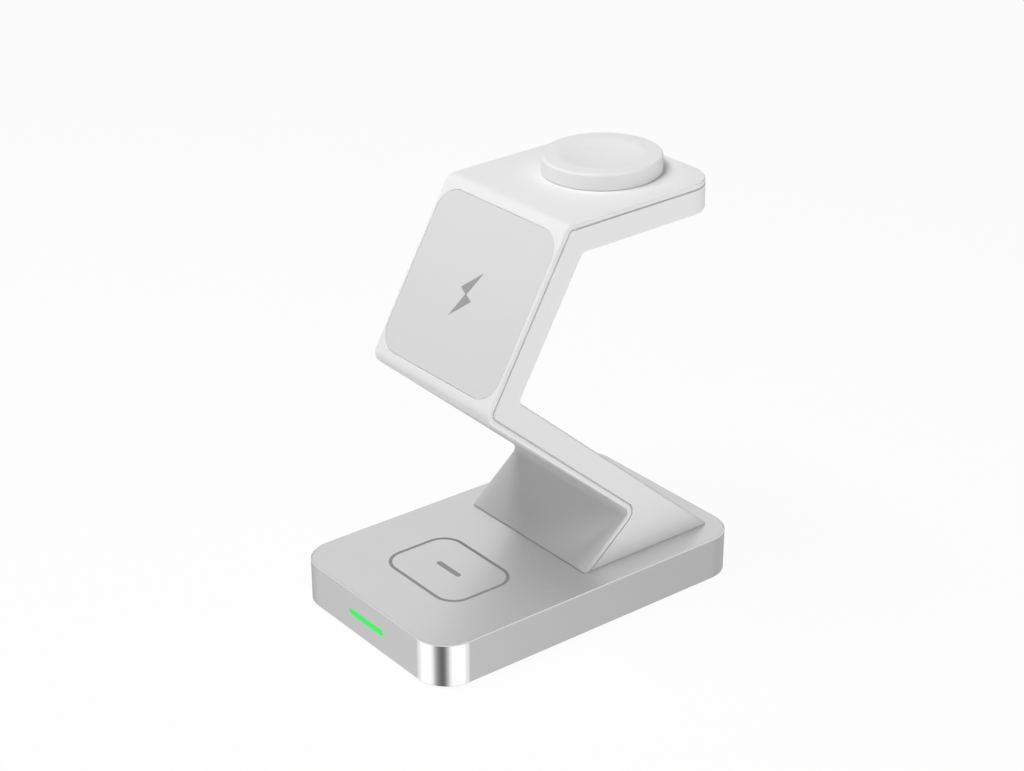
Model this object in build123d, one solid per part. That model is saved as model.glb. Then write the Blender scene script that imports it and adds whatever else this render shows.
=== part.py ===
from build123d import *
import math
import os

# Three in one wireless charger: a metal framed base with a spot for an earbud case, a folded
# stand whose leaning panel holds a phone, and a round puck for a watch on the top shelf.
# X points right, Y to the rear and Z up. The origin is on the surface that the foot mat rests
# on, under the middle of the base. Lengths are in millimetres and angles in degrees.

# Clearances
FIT_GAP = 0.1  # beside a piece that sits in a seat
HOLE_GAP = 0.2  # round a screw or a lead that passes through a wall
THREAD_GAP = 0.05  # round a screw's shank in the boss that it bites into
LAID_GAP = 0.05  # between a lead and the wall that it is laid along
PART_GAP = 0.8  # between neighbours that must not touch
SHADOW_LINE = 0.35  # step under the foot and the puck
TOLERANCE = 1e-4  # within which an edge lies on a line

# Base
BASE_DEPTH = 130.0
BASE_HEIGHT = 15.55  # side frame alone
BASE_CORNER = 12.0
BASE_SIDE_MARGIN = 9.8  # top panel that shows on each side of the stand
FRAME_WALL = 3.0
FRAME_RIM = 0.5  # thin lip of the frame round the top panel
FRAME_CHAMFER = 0.35
FRAME_BOTTOM_RIM = 1.2
TOP_PANEL_THICK = 1.8
TOP_PANEL_GAP = 0.05
BOTTOM_COVER_THICK = 2.2
MAT_THICK = 1.4
MAT_STAND_OFF = 0.8
MAT_MARGIN = 6.0

# Screws
SCREW_SHANK = 2.2
SCREW_HEAD = 4.4
SCREW_HEAD_HEIGHT = 1.4
SCREW_BITE = 5.0
BOSS_WALL = 1.8
BOSS_ROOF = 1.2  # boss that is left past the end of its hole
BOARD_SCREW_SHANK = 1.6
BOARD_SCREW_HEAD = 3.0
BOARD_SCREW_HEAD_HEIGHT = 1.1

# Charging inlet, a standard size
INLET_WIDTH = 8.94
INLET_HEIGHT = 3.26
INLET_LENGTH = 7.35
INLET_WALL = 0.3
INLET_RECESS = 0.3  # mouth behind the frame's rear face
INLET_BLOCK = 1.9
TONGUE_WIDTH = 6.69
TONGUE_THICK = 0.7
TONGUE_REACH = 4.45

# Boards and what they carry
BOARD_THICK = 1.6
BOARD_REAR_GAP = 0.5
BOARD_SCREW_INSET = 3.0
SOCKET_WIDTH = 5.0
SOCKET_DEPTH = 4.0
SOCKET_HEIGHT = 4.2
CHIP_HEIGHT = 0.9
CONTROLLER_SIZE = 6.0
BRIDGE_SIZE = 5.0
INDUCTOR_SIZE = 7.0
INDUCTOR_CORNER = 1.2
INDUCTOR_HEIGHT = 3.5
CAPACITOR_LENGTH = 3.2
CAPACITOR_WIDTH = 2.5
CAPACITOR_HEIGHT = 2.0
COMPONENT_ROW = 9.0  # from one row of components to the next

# Front light
LENS_LENGTH = 19.4
LENS_HEIGHT = 2.1
LENS_FLANGE = 1.4
LENS_FLANGE_THICK = 1.0
LED_SIZE = 2.8
LED_THICK = 0.8
LED_SPACING = 9.0
LIGHT_BOARD_THICK = 1.0
LIGHT_BOARD_OVERHANG = 3.0
LIGHT_BOARD_ABOVE = 3.5  # board above the middle of the lens
LIGHT_RIB_SPACING = 10.0
LIGHT_RIB_WIDTH = 1.6
LIGHT_RIB_DEPTH = 2.0
LIGHT_RIB_HEIGHT = 5.0

# Counterweight
WEIGHT_THICK = 3.0
WEIGHT_CORNER = 4.0
WEIGHT_MARGIN = 1.5
WEIGHT_PEG = 5.0
WEIGHT_PEG_SPACING = 40.0

# Coils and leads
COIL_THICK = 1.2
FERRITE_THICK = 0.8
FERRITE_OVERHANG = 0.5
TAB_WIDTH = 5.0
TAB_LENGTH = 3.0
LEAD_DIAMETER = 1.2
LEAD_BEND = 4.0
LEAD_STUB = 2.5  # straight stretch at a lead's ends
LEAD_SPACING = 8.0
PASSAGE_WIDTH = 6.0
PASSAGE_BEHIND_FOLD = 7.1
EARBUD_FROM_FRONT = 33.9
EARBUD_COIL_DIAMETER = 32.0
EARBUD_COIL_WIDTH = 9.0

# Stand, a band of one thickness folded at three places
MAGNET_RING_DIAMETER = 55.8
RING_SIDE_MARGIN = 0.6
RING_TOP_MARGIN = 4.35
RING_BOTTOM_MARGIN = 5.45
BAND_THICK = 10.6
COVER_THICK = 1.5
HOUSING_WALL = 1.5
SOLE_THICK = 2.0
FOOT_FRONT_LENGTH = 26.5
ARM_LENGTH = 81.0
FOOT_ANGLE = 40.0
ARM_ANGLE = 40.75
PANEL_ANGLE = 60.35
SHELF_RISE = 1.5
STAND_REAR_MARGIN = 6.1  # base that shows behind the stand's rear tip
LOW_FOLD = 2.2  # radius where the foot turns into the arm
MID_FOLD = 4.4  # radius where the arm turns into the panel
TOP_FOLD = 3.5  # radius where the panel turns into the shelf
REAR_FOLD = 2.0  # radius of the two inside corners at the back
LEAST_FOLD = 0.4
SHELF_CORNER = 12.0
COVER_EDGE = 0.5
HOUSING_EDGE = 0.6
SEAM_WIDTH = 0.7
SEAM_DEPTH = 1.0
LIP_WALL = 0.8
LIP_HEIGHT = 1.6

# Phone charger in the panel
PAD_SIDE_MARGIN = 1.05
PAD_TOP_MARGIN = 3.4
PAD_BOTTOM_MARGIN = 4.6
PAD_CORNER = 8.4
PAD_THICK = 0.9
PAD_GAP = 0.1
PAD_EDGE = 0.1
MAGNET_COUNT = 16  # places round the ring, the lowest left empty for the lead
MAGNET_WIDTH = 4.7
MAGNET_THICK = 1.6
MAGNET_SPACE = 1.5  # degrees between two magnets
YOKE_THICK = 0.5
COIL_RING_GAP = 1.2
PHONE_COIL_WIDTH = 11.7

# Watch puck on the shelf
PUCK_DIAMETER = 40.2
PUCK_FRONT_MARGIN = 19.9
PUCK_REAR_MARGIN = 4.2
PUCK_WALL = 1.5
PUCK_SKIN = 1.0  # over the coil, at the middle of the dish
PUCK_RIM = 6.0
PUCK_EDGE = 0.9
DISH_DEPTH = 1.8
DISH_BLEND = 8.0
PUCK_SCREWS = 3
WATCH_BOARD_THICK = 1.0
WATCH_MAGNET_DIAMETER = 11.0
WATCH_COIL_GAP = 0.5  # between the magnet and the coil round it

# Sizes that follow from the ones above
boss_radius = SCREW_SHANK / 2 + THREAD_GAP + BOSS_WALL
lead_radius = LEAD_DIAMETER / 2
ring_radius = MAGNET_RING_DIAMETER / 2
stand_half = ring_radius + RING_SIDE_MARGIN + LIP_WALL + FIT_GAP + HOUSING_WALL
panel_length = MAGNET_RING_DIAMETER + RING_TOP_MARGIN + RING_BOTTOM_MARGIN
pad_width = 2 * (stand_half - PAD_SIDE_MARGIN)
pad_height = panel_length - PAD_TOP_MARGIN - PAD_BOTTOM_MARGIN
phone_coil_radius = ring_radius - MAGNET_WIDTH - COIL_RING_GAP
puck_radius = PUCK_DIAMETER / 2
puck_stack = WATCH_BOARD_THICK + FERRITE_THICK + COIL_THICK
puck_height = puck_stack + PUCK_SKIN + DISH_DEPTH
puck_boss_circle = puck_radius - PUCK_WALL / 2 - boss_radius
watch_coil_radius = puck_boss_circle - boss_radius - PART_GAP
shelf_length = PUCK_FRONT_MARGIN + PUCK_DIAMETER + PUCK_REAR_MARGIN

base_width = 2 * (stand_half + BASE_SIDE_MARGIN)
base_front = -BASE_DEPTH / 2
base_rear = BASE_DEPTH / 2
corner_x = base_width / 2 - BASE_CORNER
corner_y = BASE_DEPTH / 2 - BASE_CORNER
frame_bottom = MAT_STAND_OFF
base_top = frame_bottom + BASE_HEIGHT
side_middle = frame_bottom + BASE_HEIGHT / 2
floor_top = frame_bottom + BOTTOM_COVER_THICK
ceiling = base_top - TOP_PANEL_THICK
front_wall = base_front + FRAME_WALL
rear_wall = base_rear - FRAME_WALL
screw_pad_top = floor_top + SCREW_HEAD_HEIGHT
mat_recess = frame_bottom + MAT_THICK - MAT_STAND_OFF

board_top = side_middle - INLET_HEIGHT / 2
board_bottom = board_top - BOARD_THICK
board_half = corner_x - boss_radius - PART_GAP
socket_top = board_top + SOCKET_HEIGHT
light_board_front = front_wall + LENS_FLANGE_THICK + LED_THICK
light_board_rear = light_board_front + LIGHT_BOARD_THICK
earbud_y = base_front + EARBUD_FROM_FRONT


def rad(angle):
    """Degrees to radians."""
    return math.radians(angle)


# The stand's front line runs from the foot's front edge up over the three folds to the shelf's
# rear end. Points on it are (y, z), and each run has a heading and an inward normal.
headings = [FOOT_ANGLE, 180 - ARM_ANGLE, PANEL_ANGLE, SHELF_RISE]
along = [Vector(math.cos(rad(a)), math.sin(rad(a))) for a in headings]
inward = [Vector(math.sin(rad(a)), -math.cos(rad(a))) for a in headings]
foot_reach = (
    FOOT_FRONT_LENGTH * math.cos(rad(FOOT_ANGLE))
    + FOOT_FRONT_LENGTH * math.sin(rad(FOOT_ANGLE)) / math.tan(rad(ARM_ANGLE))
    + BAND_THICK / math.sin(rad(ARM_ANGLE))
)
foot_front = Vector(base_rear - STAND_REAR_MARGIN - foot_reach, base_top)
foot_rear = foot_front.X + foot_reach
low_fold = foot_front + along[0] * FOOT_FRONT_LENGTH
mid_fold = low_fold + along[1] * ARM_LENGTH
top_fold = mid_fold + along[2] * panel_length
shelf_end = top_fold + along[3] * shelf_length
folds = [low_fold, mid_fold, top_fold]

passage_y = low_fold.X + PASSAGE_BEHIND_FOLD
board_front = passage_y - SOCKET_DEPTH / 2 - PART_GAP - SOCKET_DEPTH
board_rear = rear_wall - BOARD_REAR_GAP
board_middle = (board_front + board_rear) / 2
component_pitch = (board_half - CAPACITOR_LENGTH) / 3

pad_centre = top_fold - along[2] * (PAD_TOP_MARGIN + pad_height / 2)
puck_centre = top_fold + along[3] * (PUCK_FRONT_MARGIN + puck_radius)
panel_face = Plane(
    origin=(0, pad_centre.X, pad_centre.Y), x_dir=(1, 0, 0), z_dir=(0, -inward[2].X, -inward[2].Y)
)
shelf_face = Plane(
    origin=(0, puck_centre.X, puck_centre.Y), x_dir=(1, 0, 0), z_dir=(0, -inward[3].X, -inward[3].Y)
)


def fold_point(index, depth):
    """Corner of the front line, moved into the stand by a depth."""
    first, second = inward[index], inward[index + 1]
    return folds[index] + (first + second) * (depth / (1 + first.dot(second)))


def arm_height(y, depth):
    """Height of the arm at a place, a depth above its underside."""
    corner = fold_point(1, depth)
    return corner.Y - (y - corner.X) * math.tan(rad(ARM_ANGLE))


def end_point(depth, end_inset):
    """Rear end of the shelf at a depth under its top."""
    return shelf_end + inward[3] * depth - along[3] * end_inset


def front_line(depth, floor, end_inset):
    """Points of the front line at a depth, from a floor height to the shelf's end."""
    start = foot_front + inward[0] * depth
    start = start + along[0] * ((floor - start.Y) / along[0].Y)
    return [start] + [fold_point(i, depth) for i in range(3)] + [end_point(depth, end_inset)]


def rear_line(depth, floor, end_inset):
    """Points of the arm, panel and shelf at a depth, from a floor height to the shelf's end."""
    corner = fold_point(1, depth)
    start = corner - along[1] * ((corner.Y - floor) / along[1].Y)
    return [start, corner, fold_point(2, depth), end_point(depth, end_inset)]


def front_radii(depth):
    """Radii of the three folds at a depth."""
    return [max(r, LEAST_FOLD) for r in (LOW_FOLD + depth, MID_FOLD - depth, TOP_FOLD - depth)]


def band(front_depth, rear_depth, floor, inset):
    """Solid of the folded stand between two depths, with its sides and shelf end inset."""
    front = front_line(front_depth, floor, inset)
    rear = rear_line(rear_depth, floor, inset)
    rear_radius = REAR_FOLD + BAND_THICK - rear_depth
    points = [(p.X, p.Y) for p in front + rear[::-1]]
    radii = [0] + front_radii(front_depth) + [0, 0, rear_radius, rear_radius, 0]
    return finish_band(points, radii, inset)


def skin(front_depth, rear_depth, floor, inset):
    """Solid of a thin layer of the band that follows the whole front line."""
    front = front_line(front_depth, floor, inset)
    rear = front_line(rear_depth, floor, inset)
    points = [(p.X, p.Y) for p in front + rear[::-1]]
    radii = [0] + front_radii(front_depth) + [0, 0] + front_radii(rear_depth)[::-1] + [0]
    return finish_band(points, radii, inset)


def finish_band(points, radii, inset):
    """Profile drawn across the stand's width, with the shelf's rear corners rounded."""
    profile = make_face(FilletPolyline(*points, radius=radii, close=True))
    solid = extrude(Plane.YZ * profile, amount=stand_half - inset, both=True)
    upright = Axis((0, 0, 0), (0, inward[3].X, inward[3].Y))
    return fillet(solid.edges().filter_by(upright), SHELF_CORNER - inset)


def edges_on(solid, points, radii):
    """Side edges and shelf end edge of a solid that lie on a line of its profile."""
    line = Plane.YZ * FilletPolyline(*[(p.X, p.Y) for p in points], radius=radii)
    end = points[-1]

    def lies_on(edge):
        middle = edge @ 0.5
        at_end = (Vector(middle.Y, middle.Z) - end).length < FIT_GAP
        across = abs((edge % 0.5).X) > 1 - TOLERANCE
        close_by = line.distance_to(Vertex(0, middle.Y, middle.Z)) < TOLERANCE
        return close_by and (at_end or not across)

    return solid.edges().filter_by(lies_on)


def stand_form():
    """Whole outer form of the stand, with its long edges rounded and a step under its foot."""
    form = band(0, BAND_THICK, base_top, 0)
    front = edges_on(form, front_line(0, base_top, 0), front_radii(0))
    form = fillet(front, COVER_EDGE)
    rear = edges_on(form, rear_line(BAND_THICK, base_top, 0), [REAR_FOLD, REAR_FOLD])
    form = fillet(rear, HOUSING_EDGE)
    middle = (foot_front.X + foot_rear) / 2
    step = block(0, middle, 2 * stand_half, foot_reach, base_top, SHADOW_LINE)
    return form - (step - band(SHADOW_LINE, BAND_THICK - SHADOW_LINE, base_top, SHADOW_LINE))


def slab(width, depth, corner, bottom, top):
    """Rounded block on the base's centre line, between two heights."""
    return Pos(0, 0, bottom) * extrude(RectangleRounded(width, depth, corner), amount=top - bottom)


def base_slab(inset, bottom, top):
    """Block of the base's outline, inset all round, between two heights."""
    return slab(base_width - 2 * inset, BASE_DEPTH - 2 * inset, BASE_CORNER - inset, bottom, top)


def post(x, y, radius, bottom, top):
    """Upright round post or hole between two heights."""
    return Pos(x, y, bottom) * extrude(Circle(radius), amount=top - bottom)


def block(x, y, width, depth, bottom, height):
    """Upright block that stands on a height."""
    return Pos(x, y, bottom) * extrude(Rectangle(width, depth), amount=height)


def screw(shank, head, head_height, length):
    """Pan head screw that points up, its head under the origin."""
    top = extrude(Circle(shank / 2), amount=length)
    pan = extrude(Circle(head / 2), amount=-head_height)
    pan = fillet(pan.edges().sort_by(Axis.Z)[0], head_height / 2)
    return pan + top


def corner_places():
    """Centres of the four bosses that hold the base together."""
    return [(x, y) for x in (-corner_x, corner_x) for y in (-corner_y, corner_y)]


def foot_screw_places():
    """Centres of the four screws that hold the stand, clear of the foot's slanting walls."""
    rise = SCREW_BITE + BOSS_ROOF + SOLE_THICK
    front_room = COVER_THICK / math.sin(rad(FOOT_ANGLE)) + rise / math.tan(rad(FOOT_ANGLE))
    rear_room = HOUSING_WALL / math.sin(rad(ARM_ANGLE)) + rise / math.tan(rad(ARM_ANGLE))
    front = foot_front.X + front_room + boss_radius + PART_GAP
    rear = foot_rear - rear_room - boss_radius - PART_GAP
    side = stand_half - HOUSING_WALL - FIT_GAP - LIP_WALL - boss_radius - PART_GAP
    return [(x, y) for x in (-side, side) for y in (front, rear)]


def board_screw_places():
    """Centres of the stand-offs under the main board."""
    side = board_half - BOARD_SCREW_INSET
    front = board_front + BOARD_SCREW_INSET
    rear = board_rear - BOARD_SCREW_INSET
    return [(x, y) for x in (-side, side) for y in (front, rear)]


def lead_passage(bottom, top):
    """Slot that the phone and watch leads pass through, between two heights."""
    slot = SlotOverall(LEAD_SPACING + PASSAGE_WIDTH, PASSAGE_WIDTH)
    return Pos(LEAD_SPACING / 2, passage_y, bottom) * extrude(slot, amount=top - bottom)


def facing_front(y, z):
    """Plane across the base that looks forward."""
    return Plane(origin=(0, y, z), x_dir=(1, 0, 0), z_dir=(0, -1, 0))


def facing_rear(y, z):
    """Plane across the base that looks to the rear."""
    return Plane(origin=(0, y, z), x_dir=(-1, 0, 0), z_dir=(0, 1, 0))


# Base
def base_frame():
    """Side frame with a ledge for the top panel, one for the bottom cover, and two slots."""
    frame = base_slab(0, frame_bottom, base_top)
    rims = frame.edges().group_by(Axis.Z)
    frame = chamfer(rims[0] + rims[-1], FRAME_CHAMFER)
    frame -= base_slab(FRAME_WALL, frame_bottom, base_top)
    frame -= base_slab(FRAME_RIM, ceiling, base_top)
    frame -= base_slab(FRAME_BOTTOM_RIM, frame_bottom, floor_top)
    light = SlotOverall(LENS_LENGTH + 2 * FIT_GAP, LENS_HEIGHT + 2 * FIT_GAP)
    frame -= extrude(facing_front(base_front, side_middle) * light, amount=-FRAME_WALL)
    inlet = SlotOverall(INLET_WIDTH + 2 * FIT_GAP, INLET_HEIGHT + 2 * FIT_GAP)
    return frame - extrude(facing_rear(base_rear, side_middle) * inlet, amount=-FRAME_WALL)


def base_top_panel():
    """Top panel with the bosses that the bottom cover is screwed to."""
    panel = base_slab(FRAME_RIM + TOP_PANEL_GAP, ceiling, base_top)
    for x, y in corner_places():
        panel += post(x, y, boss_radius, screw_pad_top, ceiling)
    for x, y in corner_places():
        panel -= post(x, y, SCREW_SHANK / 2 + THREAD_GAP, screw_pad_top, screw_pad_top + SCREW_BITE)
    for x, y in foot_screw_places():
        panel -= post(x, y, SCREW_SHANK / 2 + HOLE_GAP, ceiling, base_top)
    return panel - lead_passage(ceiling, base_top)


def base_bottom_cover():
    """Bottom cover with screw pads, board stand-offs, weight pegs and light board ribs."""
    cover = base_slab(FRAME_BOTTOM_RIM + FIT_GAP, frame_bottom, floor_top)
    for x, y in corner_places():
        cover += post(x, y, SCREW_HEAD / 2 + BOSS_WALL, floor_top, screw_pad_top)
    for x, y in board_screw_places():
        cover += post(x, y, BOARD_SCREW_HEAD / 2, floor_top, board_bottom)
        cover -= post(x, y, BOARD_SCREW_SHANK / 2 + THREAD_GAP, floor_top, board_bottom)
    for x in (-WEIGHT_PEG_SPACING / 2, WEIGHT_PEG_SPACING / 2):
        cover += post(x, weight_middle(), WEIGHT_PEG / 2, floor_top, floor_top + WEIGHT_THICK)
    for x in (-LIGHT_RIB_SPACING / 2, LIGHT_RIB_SPACING / 2):
        y = light_board_rear + LIGHT_RIB_DEPTH / 2
        cover += block(x, y, LIGHT_RIB_WIDTH, LIGHT_RIB_DEPTH, floor_top, LIGHT_RIB_HEIGHT)
    cover -= base_slab(MAT_MARGIN - FIT_GAP, frame_bottom, mat_recess)
    for x, y in corner_places():
        cover -= post(x, y, SCREW_SHANK / 2 + HOLE_GAP, mat_recess, screw_pad_top)
        cover -= post(x, y, SCREW_HEAD / 2 + HOLE_GAP, mat_recess, mat_recess + SCREW_HEAD_HEIGHT)
    return cover


def cover_screws():
    """Screws that pull the bottom cover to the top panel's bosses."""
    seat = mat_recess + SCREW_HEAD_HEIGHT
    length = screw_pad_top - seat + SCREW_BITE
    one = screw(SCREW_SHANK, SCREW_HEAD, SCREW_HEAD_HEIGHT, length)
    return [Pos(x, y, seat) * one for x, y in corner_places()]


def foot_mat():
    """One soft mat that covers the screws and carries the whole charger."""
    mat = base_slab(MAT_MARGIN, mat_recess - MAT_THICK, mat_recess)
    return chamfer(mat.edges().group_by(Axis.Z)[0], MAT_STAND_OFF / 2)


def weight_span():
    """Front and rear edges of the counterweight."""
    return -corner_y + SCREW_HEAD / 2 + BOSS_WALL + WEIGHT_MARGIN, board_front - WEIGHT_MARGIN


def weight_middle():
    """Middle of the counterweight, where its pegs stand."""
    return sum(weight_span()) / 2


def counterweight():
    """Steel plate that keeps the charger from tipping, located by two pegs."""
    front, rear = weight_span()
    width = base_width - 2 * (FRAME_WALL + WEIGHT_MARGIN)
    plate = slab(width, rear - front, WEIGHT_CORNER, floor_top, floor_top + WEIGHT_THICK)
    plate = Pos(0, weight_middle(), 0) * plate
    for x in (-WEIGHT_PEG_SPACING / 2, WEIGHT_PEG_SPACING / 2):
        plate -= post(x, weight_middle(), WEIGHT_PEG / 2 + FIT_GAP, floor_top, floor_top + WEIGHT_THICK)
    return plate


# Main board and inlet
def main_board():
    """Circuit board on its stand-offs, from the inlet to just ahead of the lead passage."""
    depth = board_rear - board_front
    board = block(0, board_middle, 2 * board_half, depth, board_bottom, BOARD_THICK)
    for x, y in board_screw_places():
        board -= post(x, y, BOARD_SCREW_SHANK / 2 + HOLE_GAP, board_bottom, board_top)
    return board


def board_screws():
    """Screws that hold the board down on its stand-offs."""
    length = board_top - floor_top
    one = screw(BOARD_SCREW_SHANK, BOARD_SCREW_HEAD, BOARD_SCREW_HEAD_HEIGHT, length)
    return [Pos(x, y, board_top) * Rot(180, 0, 0) * one for x, y in board_screw_places()]


def component_row(index):
    """Distance from the front of a row of components behind the lead sockets."""
    return passage_y + SOCKET_DEPTH / 2 + COMPONENT_ROW * (index + 0.5)


def controller_chip():
    """Controller in the middle of the second row."""
    return block(0, component_row(1), CONTROLLER_SIZE, CONTROLLER_SIZE, board_top, CHIP_HEIGHT)


def bridge_chips():
    """One bridge driver for each of the three coils."""
    places = (-2 * component_pitch, 0, 2 * component_pitch)
    one = block(0, component_row(0), BRIDGE_SIZE, BRIDGE_SIZE, board_top, CHIP_HEIGHT)
    return [Pos(x, 0, 0) * one for x in places]


def inductors():
    """Two moulded inductors beside the controller."""
    outline = RectangleRounded(INDUCTOR_SIZE, INDUCTOR_SIZE, INDUCTOR_CORNER)
    one = extrude(outline, amount=INDUCTOR_HEIGHT)
    places = (-2 * component_pitch, 2 * component_pitch)
    return [Pos(x, component_row(1), board_top) * one for x in places]


def capacitors():
    """Resonance capacitors between the bridge drivers."""
    one = block(0, component_row(0), CAPACITOR_WIDTH, CAPACITOR_LENGTH, board_top, CAPACITOR_HEIGHT)
    return [Pos(place * component_pitch, 0, 0) * one for place in (-3, -1, 1, 3)]


def lead_sockets():
    """Two sockets that open up, for the stand, and two that open forward, for the base."""
    upward = [(0, passage_y), (LEAD_SPACING, passage_y)]
    forward = [(x, board_front + SOCKET_DEPTH / 2) for x in (0, -LENS_LENGTH / 2)]
    one = block(0, 0, SOCKET_WIDTH, SOCKET_DEPTH, board_top, SOCKET_HEIGHT)
    return [Pos(x, y, 0) * one for x, y in upward + forward]


def inlet_shell():
    """Metal shell of the charging inlet, open to the rear."""
    mouth = facing_rear(base_rear - INLET_RECESS, side_middle)
    shell = extrude(mouth * SlotOverall(INLET_WIDTH, INLET_HEIGHT), amount=-INLET_LENGTH)
    inside = SlotOverall(INLET_WIDTH - 2 * INLET_WALL, INLET_HEIGHT - 2 * INLET_WALL)
    return shell - extrude(mouth * inside, amount=-INLET_LENGTH)


def inlet_tongue():
    """Contact tongue and the block that closes the shell behind it."""
    back = facing_rear(base_rear - INLET_RECESS - INLET_LENGTH, side_middle)
    inside = SlotOverall(INLET_WIDTH - 2 * INLET_WALL, INLET_HEIGHT - 2 * INLET_WALL)
    closed = extrude(back * inside, amount=INLET_BLOCK)
    tongue = Rectangle(TONGUE_WIDTH, TONGUE_THICK)
    return closed + extrude(back * tongue, amount=INLET_BLOCK + TONGUE_REACH)


# Front light
def indicator_lens():
    """Light pipe that fills the frame's front slot, with a flange behind it."""
    pipe = SlotOverall(LENS_LENGTH, LENS_HEIGHT)
    flange = SlotOverall(LENS_LENGTH + 2 * LENS_FLANGE, LENS_HEIGHT + 2 * LENS_FLANGE)
    lens = extrude(facing_front(base_front, side_middle) * pipe, amount=-FRAME_WALL)
    return lens + extrude(facing_front(front_wall, side_middle) * flange, amount=-LENS_FLANGE_THICK)


def indicator_leds():
    """Two light emitting diodes between the lens and their board."""
    face = facing_front(light_board_front, side_middle)
    height = LENS_HEIGHT + 2 * LENS_FLANGE
    one = extrude(Rectangle(LED_SIZE, min(LED_SIZE, height)), amount=LED_THICK)
    return [face.location * Pos(x, 0, 0) * one for x in (-LED_SPACING / 2, LED_SPACING / 2)]


def indicator_board():
    """Small upright board behind the lens, standing on the bottom cover."""
    length = LENS_LENGTH + 2 * LIGHT_BOARD_OVERHANG
    height = side_middle + LIGHT_BOARD_ABOVE - floor_top
    y = (light_board_front + light_board_rear) / 2
    return block(0, y, length, LIGHT_BOARD_THICK, floor_top, height)


# Coils
def coil(radius, width):
    """Flat coil under the origin, with a tab on its -Y side where its wire leaves."""
    reach = width / 2 + TAB_LENGTH
    tab = Pos(0, -radius - TAB_LENGTH + reach / 2) * Rectangle(TAB_WIDTH, reach)
    return extrude(Circle(radius) - Circle(radius - width) + tab, amount=-COIL_THICK)


def disc(radius, top, thick):
    """Flat disc under a height of its own frame."""
    return Pos(0, 0, top) * extrude(Circle(radius), amount=-thick)


def earbud_coil():
    """Coil stuck under the top panel at the earbud spot."""
    return Pos(0, earbud_y, ceiling) * Rot(0, 0, 180) * coil(EARBUD_COIL_DIAMETER / 2, EARBUD_COIL_WIDTH)


def earbud_ferrite():
    """Ferrite sheet under the earbud coil."""
    return Pos(0, earbud_y, ceiling) * disc(EARBUD_COIL_DIAMETER / 2, -COIL_THICK, FERRITE_THICK)


# Stand
def stand_front_cover():
    """Folded band that shows in front, with a lip that locates it in the rear housing."""
    cover = stand_form() & skin(-COVER_EDGE, COVER_THICK, base_top, -HOUSING_WALL)
    lip_floor = base_top + SOLE_THICK + FIT_GAP
    lip_inset = HOUSING_WALL + FIT_GAP
    lip_depth = COVER_THICK + LIP_HEIGHT
    lip = skin(COVER_THICK / 2, lip_depth, lip_floor, lip_inset)
    lip -= skin(COVER_THICK / 4, lip_depth + LIP_HEIGHT, lip_floor + LIP_WALL, lip_inset + LIP_WALL)
    cover += lip
    recess = RectangleRounded(pad_width + 2 * PAD_GAP, pad_height + 2 * PAD_GAP, PAD_CORNER + PAD_GAP)
    cover -= extrude(panel_face * recess, amount=-PAD_THICK)
    for x, y in puck_screw_places():
        hole = Pos(x, y) * Circle(SCREW_SHANK / 2 + HOLE_GAP)
        cover -= extrude(shelf_face * hole, amount=-COVER_THICK)
    lead_hole = Pos(LEAD_SPACING, 0) * Circle(lead_radius + HOLE_GAP)
    return cover - extrude(shelf_face * lead_hole, amount=-COVER_THICK)


def stand_rear_housing():
    """Tray behind the front cover: arm top, panel back and shelf underside, with the sole."""
    housing = stand_form() - skin(-COVER_EDGE, COVER_THICK, base_top - SOLE_THICK, -HOUSING_WALL)
    sole_top = base_top + SOLE_THICK
    housing -= band(0, BAND_THICK - HOUSING_WALL, sole_top, HOUSING_WALL)
    seam = skin(COVER_THICK / 2, COVER_THICK + SEAM_WIDTH, base_top - SOLE_THICK, -HOUSING_WALL)
    seam -= skin(0, COVER_THICK + 2 * SEAM_WIDTH, base_top - 2 * SOLE_THICK, SEAM_DEPTH)
    housing -= seam
    bite_top = base_top + SOLE_THICK + SCREW_BITE
    for x, y in foot_screw_places():
        housing += post(x, y, boss_radius, base_top, bite_top + BOSS_ROOF)
        housing -= post(x, y, SCREW_SHANK / 2 + THREAD_GAP, base_top, bite_top)
    return housing - lead_passage(base_top, sole_top)


def stand_screws():
    """Screws from inside the base into the stand's foot."""
    length = TOP_PANEL_THICK + SOLE_THICK + SCREW_BITE
    one = screw(SCREW_SHANK, SCREW_HEAD, SCREW_HEAD_HEIGHT, length)
    return [Pos(x, y, ceiling) * one for x, y in foot_screw_places()]


# Phone charger
def phone_pad():
    """Soft pad set flush in the panel."""
    pad = extrude(panel_face * RectangleRounded(pad_width, pad_height, PAD_CORNER), amount=-PAD_THICK)
    front = pad.faces().sort_by(Axis((0, 0, 0), panel_face.z_dir))[-1]
    return chamfer(front.edges(), PAD_EDGE)


def in_panel(depth):
    """Place inside the panel, a depth behind its front face, looking out."""
    return panel_face.offset(-depth).location


def phone_magnets():
    """Ring of arc magnets behind the panel, with one place empty for the lead."""
    pitch = 360 / MAGNET_COUNT
    middle = ring_radius - MAGNET_WIDTH / 2
    section = Plane.XZ * Pos(middle, -MAGNET_THICK / 2) * Rectangle(MAGNET_WIDTH, MAGNET_THICK)
    one = revolve(section, Axis.Z, pitch - MAGNET_SPACE)
    first = -90 + pitch / 2 + MAGNET_SPACE / 2
    turns = [first + i * pitch for i in range(MAGNET_COUNT - 1)]
    return [in_panel(COVER_THICK) * Rot(0, 0, turn) * one for turn in turns]


def magnet_yoke():
    """Steel ring behind the magnets, open where the lead passes."""
    pitch = 360 / MAGNET_COUNT
    middle = ring_radius - MAGNET_WIDTH / 2
    section = Plane.XZ * Pos(middle, -YOKE_THICK / 2) * Rectangle(MAGNET_WIDTH, YOKE_THICK)
    ring = revolve(section, Axis.Z, 360 - pitch - MAGNET_SPACE)
    return in_panel(COVER_THICK + MAGNET_THICK) * Rot(0, 0, -90 + pitch / 2 + MAGNET_SPACE / 2) * ring


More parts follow.
